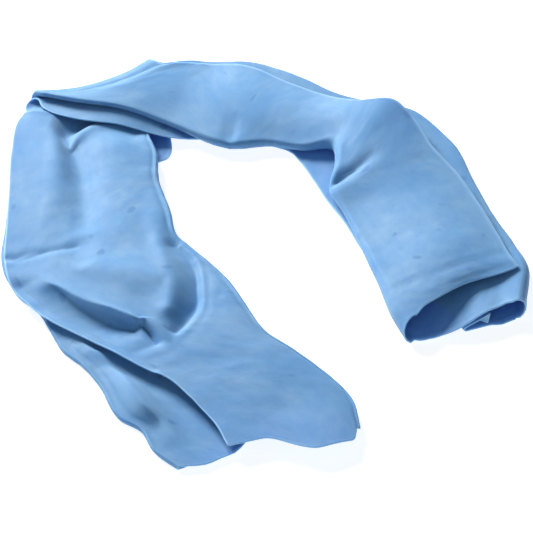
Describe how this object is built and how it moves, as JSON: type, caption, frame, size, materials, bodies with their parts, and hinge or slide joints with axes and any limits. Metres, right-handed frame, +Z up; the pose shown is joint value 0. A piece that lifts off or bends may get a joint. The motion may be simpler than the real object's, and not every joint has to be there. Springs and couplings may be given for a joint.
{
  "type": "cooling towel",
  "caption": "Long soft sheet folded in three and laid in an open loop, for draping round the neck.",
  "frame": {"origin": "centre of the laid towel's outline, on the surface it rests on", "axes": "+Z up from the surface, +Y towards the band at the back of the loop, +X towards the arm with the open cut end"},
  "size_m": [0.3292, 0.3594, 0.0214],
  "materials": {
    "chamois": "matte, soft, faintly mottled light blue"
  },
  "bodies": {
    "root": {"towel": "chamois"}
  },
  "joints": []
}
